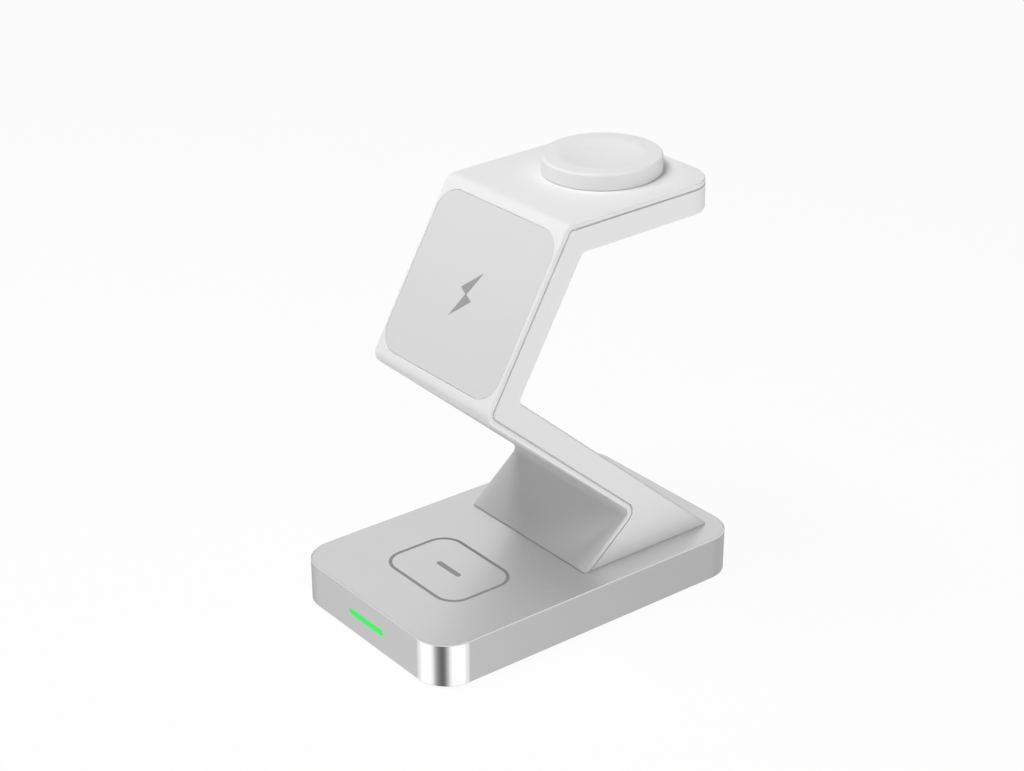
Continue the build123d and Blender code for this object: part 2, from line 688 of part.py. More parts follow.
def phone_coil():
    """Charging coil inside the magnet ring."""
    return in_panel(COVER_THICK) * coil(phone_coil_radius, PHONE_COIL_WIDTH)


def phone_ferrite():
    """Ferrite disc behind the phone coil."""
    return in_panel(COVER_THICK) * disc(phone_coil_radius + FERRITE_OVERHANG, -COIL_THICK, FERRITE_THICK)


# Watch charger
def puck_screw_places():
    """Centres of the screws under the puck, in the shelf's own frame."""
    angles = [90 + i * 360 / PUCK_SCREWS for i in range(PUCK_SCREWS)]
    return [(puck_boss_circle * math.cos(rad(a)), puck_boss_circle * math.sin(rad(a))) for a in angles]


def watch_puck():
    """Round cap with a shallow dish for the watch's back, open below."""
    dish_radius = puck_radius - PUCK_RIM
    inner = puck_radius - PUCK_WALL
    low = puck_height - DISH_DEPTH
    sphere = (dish_radius**2 + DISH_DEPTH**2) / (2 * DISH_DEPTH)
    half_turn = math.asin(dish_radius / sphere) / 2
    on_dish = (sphere * math.sin(half_turn), low + sphere * (1 - math.cos(half_turn)))
    dish = ThreePointArc((0, low), on_dish, (dish_radius, puck_height))
    wall = Polyline(
        (dish_radius, puck_height),
        (puck_radius, puck_height),
        (puck_radius, SHADOW_LINE),
        (puck_radius - SHADOW_LINE, SHADOW_LINE),
        (puck_radius - SHADOW_LINE, 0),
        (inner, 0),
        (inner, puck_stack),
        (0, puck_stack),
        (0, low),
    )
    cap = revolve(Plane.XZ * make_face(dish + wall), Axis.Z)
    top_rings = cap.edges().filter_by(GeomType.CIRCLE).group_by(Axis.Z)[-1].sort_by(SortBy.RADIUS)
    cap = fillet(top_rings[-1], PUCK_EDGE)
    top_rings = cap.edges().filter_by(GeomType.CIRCLE).group_by(Axis.Z)[-1].sort_by(SortBy.RADIUS)
    cap = fillet(top_rings[0], DISH_BLEND)
    for x, y in puck_screw_places():
        cap += post(x, y, boss_radius, 0, puck_stack)
        cap -= post(x, y, SCREW_SHANK / 2 + THREAD_GAP, 0, puck_stack)
    return shelf_face.location * cap


def puck_screws():
    """Screws from under the shelf into the puck."""
    one = screw(SCREW_SHANK, SCREW_HEAD, SCREW_HEAD_HEIGHT, COVER_THICK + puck_stack)
    return [shelf_face.location * Pos(x, y, -COVER_THICK) * one for x, y in puck_screw_places()]


def watch_board():
    """Round board of the watch charger, on the shelf under the puck."""
    return shelf_face.location * disc(watch_coil_radius, WATCH_BOARD_THICK, WATCH_BOARD_THICK)


def watch_magnet():
    """Magnet in the middle of the puck that holds the watch."""
    thick = FERRITE_THICK + COIL_THICK
    return shelf_face.location * disc(WATCH_MAGNET_DIAMETER / 2, puck_stack, thick)


def watch_ferrite():
    """Ferrite ring round the magnet, under the coil."""
    hole = WATCH_MAGNET_DIAMETER / 2 + FIT_GAP
    ring = extrude(Circle(watch_coil_radius) - Circle(hole), amount=FERRITE_THICK)
    return shelf_face.location * Pos(0, 0, WATCH_BOARD_THICK) * ring


def watch_coil():
    """Charging coil round the magnet, against the puck's roof."""
    hole = WATCH_MAGNET_DIAMETER / 2 + WATCH_COIL_GAP
    ring = extrude(Circle(watch_coil_radius) - Circle(hole), amount=-COIL_THICK)
    return shelf_face.location * Pos(0, 0, puck_stack) * ring


# Leads
def lead(*points):
    """Round lead along a route of straight runs and bends."""
    route = FilletPolyline(*points, radius=LEAD_BEND)
    start = Plane(origin=route @ 0, z_dir=route % 0)
    return sweep(start * Circle(lead_radius), path=route)


def base_lead(x, rear_z, front_y, front_z):
    """Lead from a forward socket to a place nearer the front of the base."""
    return lead(
        (x, board_front, rear_z),
        (x, board_front - LEAD_STUB, rear_z),
        (x, front_y + LEAD_STUB, front_z),
        (x, front_y, front_z),
    )


def earbud_lead():
    """Lead from the main board to the earbud coil's tab."""
    tab_end = earbud_y + EARBUD_COIL_DIAMETER / 2 + TAB_LENGTH
    return base_lead(0, board_top + SOCKET_HEIGHT / 2, tab_end, ceiling - LAID_GAP - lead_radius)


def indicator_lead():
    """Lead from the main board over the counterweight to the light board."""
    over_weight = floor_top + WEIGHT_THICK + LAID_GAP + lead_radius
    return base_lead(-LENS_LENGTH / 2, board_top + SOCKET_HEIGHT / 2, light_board_rear, over_weight)


def phone_lead():
    """Lead up through the foot and along the front cover to the phone coil's tab."""
    depth = COVER_THICK + LAID_GAP + lead_radius
    corner = fold_point(1, depth)
    tab_end = panel_face.location * Pos(0, -phone_coil_radius - TAB_LENGTH, -depth)
    return lead(
        (0, passage_y, socket_top),
        (0, passage_y, arm_height(passage_y, depth)),
        (0, corner.X, corner.Y),
        tab_end.position,
    )


def watch_lead():
    """Lead up through the foot and along the rear housing to the board under the puck."""
    depth = BAND_THICK - HOUSING_WALL - LAID_GAP - lead_radius
    arm_corner = fold_point(1, depth)
    shelf_corner = fold_point(2, depth)
    under_board = shelf_face.location * Pos(LEAD_SPACING, 0, -depth)
    board = shelf_face.location * Pos(LEAD_SPACING, 0, 0)
    return lead(
        (LEAD_SPACING, passage_y, socket_top),
        (LEAD_SPACING, passage_y, arm_height(passage_y, depth)),
        (LEAD_SPACING, arm_corner.X, arm_corner.Y),
        (LEAD_SPACING, shelf_corner.X, shelf_corner.Y),
        under_board.position,
        board.position,
    )


NODES = {
    "foot_mat": foot_mat,
    "base_bottom_cover": base_bottom_cover,
    "cover_screws": cover_screws,
    "base_frame": base_frame,
    "base_top_panel": base_top_panel,
    "counterweight": counterweight,
    "main_board": main_board,
    "board_screws": board_screws,
    "controller_chip": controller_chip,
    "bridge_chips": bridge_chips,
    "inductors": inductors,
    "capacitors": capacitors,
    "lead_sockets": lead_sockets,
    "usb_c_shell": inlet_shell,
    "usb_c_tongue": inlet_tongue,
    "indicator_lens": indicator_lens,
    "indicator_leds": indicator_leds,
    "indicator_board": indicator_board,
    "earbud_coil": earbud_coil,
    "earbud_ferrite": earbud_ferrite,
    "stand_front_cover": stand_front_cover,
    "stand_rear_housing": stand_rear_housing,
    "stand_screws": stand_screws,
    "phone_pad": phone_pad,
    "phone_magnets": phone_magnets,
    "magnet_yoke": magnet_yoke,
    "phone_coil": phone_coil,
    "phone_ferrite": phone_ferrite,
    "watch_puck": watch_puck,
    "puck_screws": puck_screws,
    "watch_board": watch_board,
    "watch_magnet": watch_magnet,
    "watch_ferrite": watch_ferrite,
    "watch_coil": watch_coil,
    "phone_lead": phone_lead,
    "watch_lead": watch_lead,
    "earbud_lead": earbud_lead,
    "indicator_lead": indicator_lead,
}

os.makedirs("parts", exist_ok=True)
for name, make in NODES.items():
    piece = make()
    if isinstance(piece, list):
        piece = Compound(children=piece)
    export_step(piece, os.path.join("parts", name + ".step"))
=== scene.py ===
"""Looks of a three in one wireless charger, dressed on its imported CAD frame.

The frame's nodes keep their shapes and get procedural finishes. The printed signs and the inlet's
contacts are modelled here. Sizes are in millimetres, in the frame's axes: X points right, Y to
the rear and Z up. Meshes are in metres.
"""

import logging
import math
from dataclasses import dataclass, replace
from enum import Enum
from typing import ClassVar

import bmesh
import bpy
from mathutils import Matrix, Vector


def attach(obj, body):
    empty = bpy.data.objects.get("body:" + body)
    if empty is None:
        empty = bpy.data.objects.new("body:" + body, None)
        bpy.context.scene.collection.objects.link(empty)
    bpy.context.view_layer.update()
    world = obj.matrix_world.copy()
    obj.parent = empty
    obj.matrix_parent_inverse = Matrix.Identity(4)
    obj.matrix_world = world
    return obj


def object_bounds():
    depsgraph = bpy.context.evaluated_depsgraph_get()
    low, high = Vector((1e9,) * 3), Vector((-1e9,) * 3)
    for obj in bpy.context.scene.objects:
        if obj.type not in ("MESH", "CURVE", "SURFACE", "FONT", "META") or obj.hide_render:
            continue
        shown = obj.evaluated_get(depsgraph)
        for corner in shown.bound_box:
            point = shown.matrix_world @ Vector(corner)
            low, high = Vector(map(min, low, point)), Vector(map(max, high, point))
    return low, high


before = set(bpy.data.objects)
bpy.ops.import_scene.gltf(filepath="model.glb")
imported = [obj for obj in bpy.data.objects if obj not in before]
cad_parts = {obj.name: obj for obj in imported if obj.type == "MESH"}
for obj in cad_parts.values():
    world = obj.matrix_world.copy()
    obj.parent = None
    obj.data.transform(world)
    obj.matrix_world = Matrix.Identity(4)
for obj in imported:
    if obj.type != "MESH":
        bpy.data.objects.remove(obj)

CAD_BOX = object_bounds()
BODY = "root"
MM = 0.001
IMAGE_WIDTH = 1024
CORNER_SEGMENTS = 12
ROUND_END = 0.99  # share of a plate's half depth that its corners take, short of meeting
WHITE = (1.0, 1.0, 1.0, 1.0)
PANEL_ANGLE = 60.35  # how far the phone panel leans back from lying flat
SHELF_RISE = 1.5  # how far the watch shelf tips up towards the rear
LOG = logging.getLogger("charger")


def linear(code: str) -> tuple[float, float, float, float]:
    """Turns an sRGB hex colour into linear light.

    Args:
        code: Colour such as "#DADADA".

    Returns:
        Red, green, blue and a full alpha.
    """
    shares = [int(code[i : i + 2], 16) / 255 for i in (1, 3, 5)]
    light = [s / 12.92 if s <= 0.04045 else ((s + 0.055) / 1.055) ** 2.4 for s in shares]
    return (*light, 1.0)


def add_node(
    tree: bpy.types.NodeTree,
    kind: str,
    inputs: dict[str | int, object] | None = None,
    **settings: object,
) -> bpy.types.Node:
    """Adds one node with its settings and its inputs.

    Args:
        tree: Node tree that gets the node.
        kind: Blender's name for the kind of node.
        inputs: Values for the node's inputs, or sockets to link to them.
        settings: The node's own properties.

    Returns:
        The new node.
    """
    made = tree.nodes.new(kind)
    for name, value in settings.items():
        setattr(made, name, value)
    for name, value in (inputs or {}).items():
        if isinstance(value, bpy.types.NodeSocket):
            tree.links.new(value, made.inputs[name])
        else:
            made.inputs[name].default_value = value
    return made


def pointing(azimuth: float, elevation: float) -> Vector:
    """Gives the direction that points from the charger to a place round it.

    Args:
        azimuth: Degrees from the front towards the right.
        elevation: Degrees above the horizon.

    Returns:
        A direction of length one.
    """
    turn, tilt = math.radians(azimuth), math.radians(elevation)
    return Vector((math.sin(turn) * math.cos(tilt), -math.cos(turn) * math.cos(tilt), math.sin(tilt)))


class Grain(Enum):
    """Texture that draws a finish's finest pattern.

    Each holds Blender's node, the output that is read, the scale that gives a pattern one metre
    wide, and the node's settings.
    """

    SPECKLE = ("ShaderNodeTexNoise", "Fac", 1.0, {})
    FLAKES = ("ShaderNodeTexVoronoi", "Distance", 1.0, {})
    TURNS = ("ShaderNodeTexWave", "Fac", math.pi / 10, {"wave_type": "RINGS", "rings_direction": "Z"})
    TRACES = ("ShaderNodeTexBrick", "Fac", 0.25, {"offset": 0.35})


@dataclass(frozen=True)
class Finish:
    """Procedural finish: a fine grain shifts colour, gloss and relief, and a slow mottle softens it.

    Attributes:
        name: What the material is and how its surface was made.
        low: Colour at the grain's low points.
        high: Colour at its high points.
        grain_mm: Size of the grain.
        rough: Roughness at the low and high points.
        relief_mm: Depth of the grain.
        grain: Texture that draws it.
        metallic: Share of bare metal.
        ior: Index of refraction, left at the default for metals.
        stretch: How much longer the grain is along each axis.
        centre: Middle of a round pattern.
        tilt: Degrees that a round pattern's plane is turned about X.
        glow: Strength of the finish's own light.
    """

    name: str
    low: str
    high: str
    grain_mm: float
    rough: tuple[float, float]
    relief_mm: float
    grain: Grain = Grain.SPECKLE
    metallic: float = 0.0
    ior: float = 1.5
    stretch: tuple[float, float, float] = (1.0, 1.0, 1.0)
    centre: tuple[float, float, float] = (0.0, 0.0, 0.0)
    tilt: float = 0.0
    glow: float = 0.0

    MOTTLE_MM: ClassVar[float] = 14.0
    RELIEF_STRENGTH: ClassVar[float] = 0.6
    EVEN_SHARE: ClassVar[float] = 0.25

    def material(self) -> bpy.types.Material:
        """Builds the finish once and gives it back each time.

        Returns:
            The finish as a Blender material.
        """
        made = bpy.data.materials.get(self.name)
        if made:
            return made
        made = bpy.data.materials.new(self.name)
        made.use_nodes = True
        tree = made.node_tree
        tree.nodes.clear()
        fine, blend = self.pattern(tree)
        tinted = add_node(
            tree,
            "ShaderNodeMix",
            {0: blend, 6: linear(self.low), 7: linear(self.high)},
            data_type="RGBA",
        ).outputs[2]
        gloss = add_node(
            tree,
            "ShaderNodeMapRange",
            {"Value": blend, "To Min": self.rough[0], "To Max": self.rough[1]},
        )
        relief = add_node(
            tree,
            "ShaderNodeBump",
            {"Height": fine, "Distance": self.relief_mm * MM, "Strength": self.RELIEF_STRENGTH},
        )
        surface = {
            "Base Color": tinted,
            "Roughness": gloss.outputs[0],
            "Normal": relief.outputs[0],
            "Metallic": self.metallic,
            "IOR": self.ior,
        }
        if self.glow:
            surface |= {"Emission Color": tinted, "Emission Strength": self.glow}
        shader = add_node(tree, "ShaderNodeBsdfPrincipled", surface)
        add_node(tree, "ShaderNodeOutputMaterial", {"Surface": shader.outputs[0]})
        return made

    def pattern(self, tree: bpy.types.NodeTree) -> tuple[bpy.types.NodeSocket, bpy.types.NodeSocket]:
        """Adds the grain and the mottle.

        Args:
            tree: Node tree of the material.

        Returns:
            The fine grain, and the grain softened by the mottle.
        """
        place = add_node(
            tree,
            "ShaderNodeMapping",
            {
                "Vector": add_node(tree, "ShaderNodeTexCoord").outputs["Object"],
                "Location": Vector(self.centre) * MM,
                "Rotation": (math.radians(self.tilt), 0.0, 0.0),
                "Scale": self.stretch,
            },
            vector_type="TEXTURE",
        ).outputs[0]
        kind, output, per_metre, settings = self.grain.value
        scale = per_metre / (self.grain_mm * MM)
        fine = add_node(tree, kind, {"Vector": place, "Scale": scale}, **settings).outputs[output]
        mottle = add_node(
            tree,
            "ShaderNodeTexNoise",
            {"Vector": place, "Scale": 1 / (self.MOTTLE_MM * MM)},
        ).outputs["Fac"]
        blend = add_node(
            tree,
            "ShaderNodeMath",
            {0: fine, 1: mottle, 2: self.EVEN_SHARE},
            operation="MULTIPLY_ADD",
        )
        return fine, blend.outputs[0]


class Finishes(Enum):
    """The charger's finishes."""

    # Aluminium, extruded, polished and clear anodised: a bright mirror, hazed a little by the
    # polishing marks, which are drawn coarser than real so that they show.
    FRAME = Finish(
        "aluminium_polished", "#ECECED", "#F2F2F3", 0.3, (0.09, 0.12), 0.0004, metallic=1.0
    )
    # ABS under sprayed silver paint: flakes give a soft sheen that follows the light. Real flakes
    # are a tenth of this size.
    TOP = Finish(
        "abs_sprayed_silver", "#E8E8E8", "#EEEEEE", 0.25, (0.27, 0.33), 0.004, Grain.FLAKES, 0.95
    )
    # ABS moulded in an eroded tool: an even satin white with a fine tooth.
    STAND = Finish("abs_moulded_satin", "#F3F3F3", "#F6F6F6", 0.18, (0.46, 0.54), 0.006)
    # ABS moulded in a finer tool: the same white, a touch glossier.
    PUCK = Finish("abs_moulded_smooth", "#F3F3F3", "#F6F6F6", 0.16, (0.30, 0.38), 0.004)
    # Silicone coated sheet: flat grey with no glint, so that it grips the phone.
    PAD = Finish("silicone_coated_grey", "#E1E1E1", "#E4E4E4", 0.14, (0.58, 0.68), 0.008, ior=1.43)
    # Silicone moulded in a matt tool: dull, dark and a little uneven.
    MAT = Finish("silicone_moulded_grey", "#6C6C6E", "#747476", 0.4, (0.62, 0.74), 0.02, ior=1.43)
    # ABS moulded in a coarse tool: a grained grey that hides scuffs.
    COVER = Finish("abs_moulded_grained", "#A9A9AA", "#B2B2B3", 0.35, (0.5, 0.6), 0.02)
    # Steel, cold headed and zinc plated: bright with a bluish grey cast.
    SCREW = Finish(
        "steel_zinc_plated", "#9C9CA0", "#B4B4B6", 0.2, (0.3, 0.4), 0.003, metallic=1.0
    )
    # Steel sheet, stamped: rolling lines run along its length.
    WEIGHT = Finish(
        "steel_rolled_sheet", "#85868A", "#9B9CA0", 0.3, (0.36, 0.5), 0.006, metallic=1.0,
        stretch=(1.0, 24.0, 1.0),
    )
    # Acrylic, moulded clear and lit from behind: an even green with no grain to see.
    LENS = Finish(
        "acrylic_lit_green", "#00C038", "#02C83E", 3.0, (0.25, 0.3), 0.001, ior=1.49, glow=1.0
    )
    # Epoxy over a blue die, cast: pale yellow and a little milky.
    LED = Finish("epoxy_cast_phosphor", "#E2DC9A", "#EFE9AE", 0.6, (0.25, 0.35), 0.002, ior=1.55)
    # Ink, screen printed in one pass: thin, dry and slightly ragged in tone.
    BASE_INK = Finish("ink_printed_grey", "#8B8B8B", "#939393", 0.12, (0.5, 0.6), 0.003)
    # The same ink on silicone, which soaks up its gloss.
    PAD_INK = Finish("ink_printed_pale", "#A2A2A2", "#A8A8A8", 0.12, (0.6, 0.7), 0.003)
    # Steel, deep drawn and nickel plated: a warm bright grey with faint draw lines.
    SHELL = Finish(
        "steel_nickel_plated", "#A8A49C", "#BDB9B0", 0.15, (0.24, 0.34), 0.002, metallic=1.0,
        stretch=(1.0, 12.0, 1.0),
    )
    # Liquid crystal polymer filled with glass: black with pale flecks.
    TONGUE = Finish("polymer_moulded_black", "#131314", "#1E1E20", 0.12, (0.4, 0.52), 0.004, ior=1.6)
    # Copper alloy, gold plated: warm and clean.
    CONTACT = Finish(
        "copper_gold_plated", "#D9A441", "#EBBE62", 0.1, (0.2, 0.28), 0.001, metallic=1.0
    )
    # Glass epoxy board under green solder mask: the copper runs show through as paler lines.
    BOARD = Finish(
        "epoxy_board_masked", "#0D3B22", "#1F6A3E", 1.6, (0.3, 0.42), 0.02, Grain.TRACES, ior=1.55
    )
    # Epoxy, transfer moulded: matt black with a sandy grain.
    CHIP = Finish("epoxy_moulded_black", "#18181A", "#242426", 0.1, (0.5, 0.62), 0.006, ior=1.55)
    # Iron powder, pressed and lacquered: dark grey with glinting grains.
    INDUCTOR = Finish("iron_powder_pressed", "#3A3A3D", "#55555A", 0.25, (0.45, 0.6), 0.02)
    # Ceramic, fired: even tan.
    CAPACITOR = Finish("ceramic_fired_tan", "#A5835A", "#B99469", 0.2, (0.4, 0.5), 0.004, ior=1.65)
    # Nylon, moulded in its natural colour: milky and waxy.
    SOCKET = Finish("nylon_moulded_natural", "#E6E1D2", "#EFEADC", 0.3, (0.4, 0.5), 0.004, ior=1.53)
    # Copper wire, enamelled and wound flat: the colour runs from bright on each turn's crown to dark in
    # the gaps between the turns, painted shade where the round turns meet.
    EARBUD_COIL = Finish(
        "copper_wound_earbud", "#5E2F17", "#CF7F4C", 0.9, (0.25, 0.42), 0.15, Grain.TURNS, 1.0,
        centre=(0.0, -31.1, 13.95),
    )
    PHONE_COIL = replace(
        EARBUD_COIL, name="copper_wound_phone", centre=(0.0, -20.12, 114.24), tilt=PANEL_ANGLE
    )
    WATCH_COIL = replace(
        EARBUD_COIL, name="copper_wound_watch", centre=(0.0, 33.91, 146.71), tilt=SHELF_RISE
    )
    # Ferrite, sintered in sheets: near black and chalky.
    FERRITE = Finish("ferrite_sintered", "#2B2B2E", "#3B3B3F", 0.5, (0.55, 0.7), 0.015, ior=2.2)
    # Sintered magnet, nickel plated: bright, with rounded edges that catch light.
    MAGNET = Finish(
        "magnet_nickel_plated", "#9E9B95", "#B6B2AB", 0.4, (0.2, 0.32), 0.004, metallic=1.0
    )
    # PVC drawn over stranded wire: glossy white with faint draw lines.
    LEAD = Finish("pvc_drawn_white", "#D8D8D6", "#E4E4E2", 0.5, (0.3, 0.4), 0.01, ior=1.53)


class Slots(Enum):
    """Names of the record's slots, passed along with the scene's own pieces."""

    PRINT = "silver_paint"
    PAD_PRINT = "grey_pad"
    CONTACT = "inlet_steel"


def rounded_plate(half: tuple[float, float], corner: float) -> bmesh.types.BMesh:
    """Makes a flat plate with round corners in the plane z = 0.

    Args:
        half: Half of the plate's width and depth.
        corner: Radius of its corners.

    Returns:
        A bmesh of one face, in metres.
    """
    shape = bmesh.new()
    bmesh.ops.create_grid(shape, x_segments=1, y_segments=1, size=1.0)
    bmesh.ops.scale(shape, verts=shape.verts, vec=(half[0] * MM, half[1] * MM, 1.0))
    bmesh.ops.bevel(
        shape,
        geom=shape.verts[:],
        offset=corner * MM,
        offset_type="OFFSET",
        affect="VERTICES",
        segments=CORNER_SEGMENTS,
        profile=0.5,
        material=-1,
    )
    return shape


def thicken(shape: bmesh.types.BMesh, thickness: float) -> None:
    """Turns a flat shape into a layer, half of it below the plane and half above.

    Args:
        shape: Bmesh of flat faces in the plane z = 0.
        thickness: The layer's thickness.
    """
    bmesh.ops.translate(shape, verts=shape.verts, vec=(0.0, 0.0, -thickness / 2 * MM))
    risen = bmesh.ops.extrude_face_region(shape, geom=shape.faces[:])["geom"]
    corners = [v for v in risen if isinstance(v, bmesh.types.BMVert)]
    bmesh.ops.translate(shape, verts=corners, vec=(0.0, 0.0, thickness * MM))
    bmesh.ops.recalc_face_normals(shape, faces=shape.faces)


class SubAssembly:
    """Group of the charger's pieces that is built and dressed together."""

    skins: ClassVar[dict[str, Finishes]] = {}

    def build(self) -> None:
        """Dresses the group's CAD nodes, then adds the pieces that only the scene has."""
        for node, finish in self.skins.items():
            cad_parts[node].data.materials[0] = finish.value.material()
            LOG.info("dressed %s in %s", node, finish.value.name)
        self.add_pieces()

    def add_pieces(self) -> None:
        """Adds nothing, unless a group has pieces of its own."""

    def add_piece(
        self, name: str, shape: bmesh.types.BMesh, place: Matrix, finish: Finishes, slot: Slots
    ) -> bpy.types.Object:
        """Makes an object of a finished shape and fixes it to the charger.

        Args:
            name: Name of the piece.
            shape: The shape, which is freed.
            place: Where the shape goes, in metres.
            finish: Finish of the piece.
            slot: Slot of the record that the finish belongs to; not used.

        Returns:
            The new object, at the origin with its place in its mesh.
        """
        bmesh.ops.transform(shape, matrix=place, verts=shape.verts)
        mesh = bpy.data.meshes.new(name)
        shape.to_mesh(mesh)
        shape.free()
        mesh.materials.append(finish.value.material())
        made = bpy.data.objects.new(name, mesh)
        bpy.context.scene.collection.objects.link(made)
        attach(made, BODY)
        LOG.info("added %s with %d faces", name, len(mesh.polygons))
        return made


@dataclass
class Base(SubAssembly):
    """Metal framed base, its cover and mat underneath, and the weight inside."""

    skins: ClassVar[dict[str, Finishes]] = {
        "base_frame": Finishes.FRAME,
        "base_top_panel": Finishes.TOP,
        "base_bottom_cover": Finishes.COVER,
        "foot_mat": Finishes.MAT,
        "cover_screws": Finishes.SCREW,
        "counterweight": Finishes.WEIGHT,
    }


@dataclass
class FrontLight(SubAssembly):
    """Green light in the front of the base."""

    skins: ClassVar[dict[str, Finishes]] = {
        "indicator_lens": Finishes.LENS,
        "indicator_leds": Finishes.LED,
        "indicator_board": Finishes.BOARD,
        "indicator_lead": Finishes.LEAD,
    }


@dataclass
class EarbudSpot(SubAssembly):
    """Earbud charger under the base's top, and the case's place printed over it.

    Attributes:
        middle: Middle of the print.
        top: Height of the base's top.
        half: Half of the outline's width and depth, to its outer edge.
        corner: Radius of the outline's outer corners.
        line: Width of the line.
        dash_half: Half of the dash's width and depth.
        ink: Thickness of the ink.
    """

    skins: ClassVar[dict[str, Finishes]] = {
        "earbud_coil": Finishes.EARBUD_COIL,
        "earbud_ferrite": Finishes.FERRITE,
        "earbud_lead": Finishes.LEAD,
    }
    middle: tuple[float, float] = (0.1, -30.85)
    top: float = 16.35
    half: tuple[float, float] = (19.85, 14.6)
    corner: float = 8.0
    line: float = 1.2
    dash_half: tuple[float, float] = (6.2, 1.0)
    ink: float = 0.05

    def add_pieces(self) -> None:
        """Prints the outline and the dash that stands for the case's lid."""
        place = Matrix.Translation(Vector((*self.middle, self.top)) * MM)
        outline = rounded_plate(self.half, self.corner)
        ring = bmesh.ops.inset_region(
            outline,
            faces=outline.faces[:],
            thickness=self.line * MM,
            use_boundary=True,
            use_even_offset=True,
        )["faces"]
        inner = [face for face in outline.faces if face not in ring]
        bmesh.ops.delete(outline, geom=inner, context="FACES")
        thicken(outline, self.ink)
        self.add_piece("earbud_outline", outline, place, Finishes.BASE_INK, Slots.PRINT)
        dash = rounded_plate(self.dash_half, self.dash_half[1] * ROUND_END)
        thicken(dash, self.ink)
        self.add_piece("earbud_dash", dash, place, Finishes.BASE_INK, Slots.PRINT)


@dataclass
class Stand(SubAssembly):
    """Folded stand: the white front cover and the housing behind it."""

    skins: ClassVar[dict[str, Finishes]] = {
        "stand_front_cover": Finishes.STAND,
        "stand_rear_housing": Finishes.STAND,
        "stand_screws": Finishes.SCREW,
    }


@dataclass
class PhoneCharger(SubAssembly):
    """Phone charger in the leaning panel, with a charging sign printed on its pad.

    Attributes:
        pad_middle: Middle of the pad's face.
        sign_middle: Middle of the sign, right of and up from the pad's middle.
        tip: Tip of the bolt from its middle.
        shoulder: Outer corner of the bolt's upper half.
        waist: Half of the bolt's width at its middle.
        ink: Thickness of the ink.
    """

    skins: ClassVar[dict[str, Finishes]] = {
        "phone_pad": Finishes.PAD,
        "phone_magnets": Finishes.MAGNET,
        "magnet_yoke": Finishes.WEIGHT,
        "phone_coil": Finishes.PHONE_COIL,
        "phone_ferrite": Finishes.FERRITE,
        "phone_lead": Finishes.LEAD,
    }
    pad_middle: tuple[float, float, float] = (0.0, -21.947, 115.284)
    sign_middle: tuple[float, float] = (-0.07, -0.83)
    tip: tuple[float, float] = (4.05, 8.62)
    shoulder: tuple[float, float] = (-3.56, 1.48)
    waist: float = 0.3
    ink: float = 0.05

    def add_pieces(self) -> None:
        """Prints the bolt, whose lower half is its upper half turned round."""
        upper = [Vector((*self.tip, 0.0)), Vector((*self.shoulder, 0.0)), Vector((-self.waist, 0.0, 0.0))]
        shape = bmesh.new()
        shape.faces.new([shape.verts.new(p * MM) for p in upper + [-p for p in upper]])
        thicken(shape, self.ink)
        lean = Matrix.Rotation(math.radians(PANEL_ANGLE), 4, "X")
        shift = Matrix.Translation(Vector((*self.sign_middle, 0.0)) * MM)
        place = Matrix.Translation(Vector(self.pad_middle) * MM) @ lean @ shift
        self.add_piece("charging_bolt", shape, place, Finishes.PAD_INK, Slots.PAD_PRINT)


@dataclass
class WatchCharger(SubAssembly):
    """Round puck on the shelf, and the watch charger in it."""

    skins: ClassVar[dict[str, Finishes]] = {
        "watch_puck": Finishes.PUCK,
        "puck_screws": Finishes.SCREW,
        "watch_board": Finishes.BOARD,
        "watch_magnet": Finishes.MAGNET,
        "watch_ferrite": Finishes.FERRITE,
        "watch_coil": Finishes.WATCH_COIL,
        "watch_lead": Finishes.LEAD,
    }


@dataclass
class MainBoard(SubAssembly):
    """Main board in the base, and what it carries."""

    skins: ClassVar[dict[str, Finishes]] = {
        "main_board": Finishes.BOARD,
        "board_screws": Finishes.SCREW,
        "controller_chip": Finishes.CHIP,
        "bridge_chips": Finishes.CHIP,
        "inductors": Finishes.INDUCTOR,
        "capacitors": Finishes.CAPACITOR,
        "lead_sockets": Finishes.SOCKET,
    }


@dataclass
class Inlet(SubAssembly):
    """Charging inlet in the rear of the base, with contacts on both faces of its tongue.

    Attributes:
        middle: Middle of the contacts' length, on the tongue.
        tongue: Thickness of the tongue.
        contacts: How many lie side by side on each face.
        pitch: From one contact to the next.
        contact: Width, length and thickness of a contact.
        edge: Bevel of its edges.
    """

    skins: ClassVar[dict[str, Finishes]] = {
        "usb_c_shell": Finishes.SHELL,
        "usb_c_tongue": Finishes.TONGUE,
    }
    middle: tuple[float, float, float] = (0.0, 61.5, 8.575)
    tongue: float = 0.7
    contacts: int = 12
    pitch: float = 0.5
    contact: tuple[float, float, float] = (0.26, 3.4, 0.08)
    edge: float = 0.015

    def add_pieces(self) -> None:
        """Lays the contacts, sunk halfway into the tongue."""
        shape = bmesh.new()
        size = Matrix.Diagonal((*(length * MM for length in self.contact), 1.0))
        for index in range(self.contacts):
            across = (index - (self.contacts - 1) / 2) * self.pitch
            for side in (-1, 1):
                spot = Vector((across, 0.0, side * self.tongue / 2)) * MM
                bmesh.ops.create_cube(shape, size=1.0, matrix=Matrix.Translation(spot) @ size)
        bmesh.ops.bevel(
            shape,
            geom=shape.edges[:],
            offset=self.edge * MM,
            offset_type="OFFSET",
            affect="EDGES",
            segments=1,
            profile=0.5,
            material=-1,
        )
        bmesh.ops.recalc_face_normals(shape, faces=shape.faces)
        place = Matrix.Translation(Vector(self.middle) * MM)
        self.add_piece("inlet_contacts", shape, place, Finishes.CONTACT, Slots.CONTACT)


